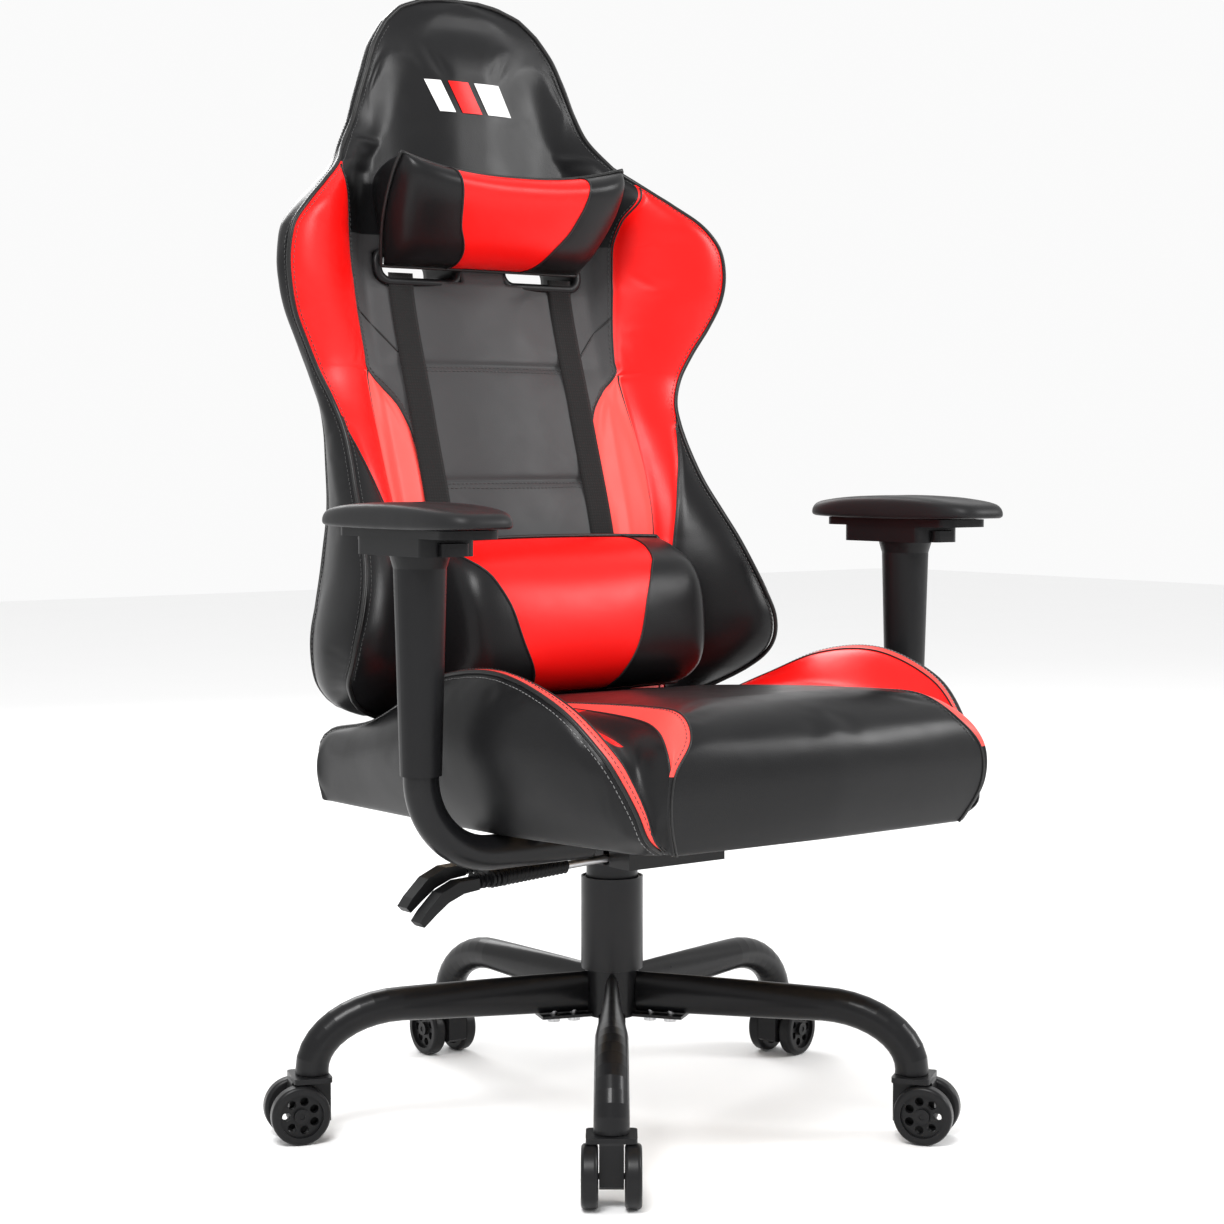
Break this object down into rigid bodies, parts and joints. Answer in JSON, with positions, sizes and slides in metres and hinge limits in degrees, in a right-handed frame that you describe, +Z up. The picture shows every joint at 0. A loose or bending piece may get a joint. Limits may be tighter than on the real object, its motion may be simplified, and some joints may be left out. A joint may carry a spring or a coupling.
{
  "type": "gaming chair",
  "caption": "Swivel gaming chair with bucket backrest, head and lumbar pillows, tube armrests, gas lift and a five-leg tube base on casters.",
  "frame": {"origin": "on the gas column's axis, at the floor", "axes": "+Z up, the sitter faces -Y, +X on the sitter's left"},
  "size_m": [0.7137, 0.7205, 1.196],
  "materials": {
    "black_steel": "satin black powder coat",
    "zinc_steel": "zinc plated",
    "ground_steel": "ground",
    "black_plastic": "fine moulded texture",
    "caster_nylon": "moulded nylon",
    "armrest_pu": "soft moulded polyurethane",
    "plywood": "raw plywood",
    "black_leatherette": "black faux leather over foam",
    "red_leatherette": "red faux leather over foam",
    "webbing": "woven strap",
    "thread": "sewing thread"
  },
  "bodies": {
    "base": {"base_hub": "black_steel", "base_leg_1": "black_steel", "base_leg_2": "black_steel", "base_leg_3": "black_steel", "base_leg_4": "black_steel", "base_leg_5": "black_steel", "base_leg_bolts": "zinc_steel", "caster_sockets": "black_plastic", "gas_outer_tube": "black_steel", "gas_guide_bush": "black_plastic", "gas_piston_rod": "ground_steel", "gas_thrust_bearing": "zinc_steel", "column_cover_lower": "black_plastic"},
    "caster_1_fork": {"caster_1_housing": "caster_nylon"},
    "caster_1_wheelset": {"caster_1_wheels": "caster_nylon"},
    "caster_2_fork": {"caster_2_housing": "caster_nylon"},
    "caster_2_wheelset": {"caster_2_wheels": "caster_nylon"},
    "caster_3_fork": {"caster_3_housing": "caster_nylon"},
    "caster_3_wheelset": {"caster_3_wheels": "caster_nylon"},
    "caster_4_fork": {"caster_4_housing": "caster_nylon"},
    "caster_4_wheelset": {"caster_4_wheels": "caster_nylon"},
    "caster_5_fork": {"caster_5_housing": "caster_nylon"},
    "caster_5_wheelset": {"caster_5_wheels": "caster_nylon"},
    "lift": {"gas_pressure_tube": "ground_steel", "column_cover_upper": "black_plastic"},
    "cover_ring": {"column_cover_middle": "black_plastic"},
    "gas_button": {"gas_release_button": "zinc_steel"},
    "seat": {"mechanism_housing": "black_steel", "back_pivot_pin": "zinc_steel", "seat_bolts": "zinc_steel", "seat_board": "plywood", "seat_cushion": "black_leatherette", "seat_bolster_left": "black_leatherette", "seat_bolster_right": "black_leatherette", "armrest_left_tube": "black_steel", "armrest_right_tube": "black_steel"},
    "height_lever": {"height_lever_rod": "zinc_steel", "height_lever_grip": "black_plastic"},
    "recline_lever": {"recline_lever_rod": "zinc_steel", "recline_lever_grip": "black_plastic"},
    "backrest": {"back_bracket": "black_steel", "back_bracket_bolts": "zinc_steel", "back_frame": "black_steel", "back_centre": "black_leatherette", "back_head": "black_leatherette", "back_wing_left": "black_leatherette", "back_wing_right": "black_leatherette", "slot_bezels": "black_plastic", "back_straps": "webbing"},
    "head_cushion": {"head_pillow": "black_leatherette"},
    "lumbar_cushion": {"lumbar_pillow": "black_leatherette"},
    "armrest_left": {"armrest_left_sleeve": "black_plastic", "armrest_left_bracket": "black_plastic", "armrest_left_pad": "armrest_pu"},
    "armrest_left_release": {"armrest_left_button": "black_plastic"},
    "armrest_right": {"armrest_right_sleeve": "black_plastic", "armrest_right_bracket": "black_plastic", "armrest_right_pad": "armrest_pu"},
    "armrest_right_release": {"armrest_right_button": "black_plastic"}
  },
  "joints": [
    {"name": "caster_1_swivel", "type": "hinge", "parent": "base", "child": "caster_1_fork", "pos_m": [-0.19392, -0.25455, 0.07], "axis": [0, 0, 1], "continuous": true},
    {"name": "caster_1_roll", "type": "hinge", "parent": "caster_1_fork", "child": "caster_1_wheelset", "pos_m": [-0.20361, -0.26728, 0.03], "axis": [0.7955, -0.606, 0], "continuous": true},
    {"name": "caster_2_swivel", "type": "hinge", "parent": "base", "child": "caster_2_fork", "pos_m": [0.18217, -0.26309, 0.07], "axis": [0, 0, 1], "continuous": true},
    {"name": "caster_2_roll", "type": "hinge", "parent": "caster_2_fork", "child": "caster_2_wheelset", "pos_m": [0.19128, -0.27624, 0.03], "axis": [0.8221, 0.5693, 0], "continuous": true},
    {"name": "caster_3_swivel", "type": "hinge", "parent": "base", "child": "caster_3_fork", "pos_m": [0.3065, 0.09196, 0.07], "axis": [0, 0, 1], "continuous": true},
    {"name": "caster_3_roll", "type": "hinge", "parent": "caster_3_fork", "child": "caster_3_wheelset", "pos_m": [0.32183, 0.09655, 0.03], "axis": [-0.2874, 0.9578, 0], "continuous": true},
    {"name": "caster_4_swivel", "type": "hinge", "parent": "base", "child": "caster_4_fork", "pos_m": [0.00726, 0.31992, 0.07], "axis": [0, 0, 1], "continuous": true},
    {"name": "caster_4_roll", "type": "hinge", "parent": "caster_4_fork", "child": "caster_4_wheelset", "pos_m": [0.00762, 0.33591, 0.03], "axis": [-0.9997, 0.0227, 0], "continuous": true},
    {"name": "caster_5_swivel", "type": "hinge", "parent": "base", "child": "caster_5_fork", "pos_m": [-0.30202, 0.10576, 0.07], "axis": [0, 0, 1], "continuous": true},
    {"name": "caster_5_roll", "type": "hinge", "parent": "caster_5_fork", "child": "caster_5_wheelset", "pos_m": [-0.31712, 0.11105, 0.03], "axis": [-0.3305, -0.9438, 0], "continuous": true},
    {"name": "seat_height", "type": "slide", "parent": "base", "child": "lift", "axis": [0, 0, 1], "range_m": [0, 0.08]},
    {"name": "cover_follow", "type": "slide", "parent": "base", "child": "cover_ring", "axis": [0, 0, 1], "range_m": [0, 0.04]},
    {"name": "gas_release", "type": "slide", "parent": "lift", "child": "gas_button", "axis": [0, 0, -1], "range_m": [0, 0.0036]},
    {"name": "seat_swivel", "type": "hinge", "parent": "lift", "child": "seat", "pos_m": [0, 0, 0.3], "axis": [0, 0, 1], "continuous": true},
    {"name": "height_lever_pull", "type": "hinge", "parent": "seat", "child": "height_lever", "pos_m": [-0.025, -0.048, 0.296], "axis": [0, 1, 0], "range_deg": [0, 8], "stiffness_Nm_per_rad": 4, "springref_deg": -6.88},
    {"name": "recline_lever_pull", "type": "hinge", "parent": "seat", "child": "recline_lever", "pos_m": [-0.025, -0.072, 0.288], "axis": [0, 1, 0], "range_deg": [0, 8], "stiffness_Nm_per_rad": 4, "springref_deg": -6.88},
    {"name": "backrest_recline", "type": "hinge", "parent": "seat", "child": "backrest", "pos_m": [0, 0.095, 0.306], "axis": [-1, 0, 0], "range_deg": [0, 20]},
    {"name": "head_pillow_height", "type": "slide", "parent": "backrest", "child": "head_cushion", "axis": [0, 0.1564, 0.9877], "range_m": [0, 0.03]},
    {"name": "lumbar_pillow_height", "type": "slide", "parent": "backrest", "child": "lumbar_cushion", "axis": [0, 0.2873, 0.9578], "range_m": [0, 0.05]},
    {"name": "armrest_left_height", "type": "slide", "parent": "seat", "child": "armrest_left", "axis": [0, 0, 1], "range_m": [0, 0.06]},
    {"name": "armrest_left_button_press", "type": "slide", "parent": "armrest_left", "child": "armrest_left_release", "axis": [0, 1, 0], "range_m": [0, 0.003], "stiffness_N_per_m": 1500, "springref_m": -0.002},
    {"name": "armrest_right_height", "type": "slide", "parent": "seat", "child": "armrest_right", "axis": [0, 0, 1], "range_m": [0, 0.06]},
    {"name": "armrest_right_button_press", "type": "slide", "parent": "armrest_right", "child": "armrest_right_release", "axis": [0, 1, 0], "range_m": [0, 0.003], "stiffness_N_per_m": 1500, "springref_m": -0.002}
  ],
  "couplings": [
    {"joint": "cover_follow", "follows": "seat_height", "ratio": 0.5},
    {"joint": "gas_release", "follows": "height_lever_pull", "m_per_rad": 0.025}
  ]
}
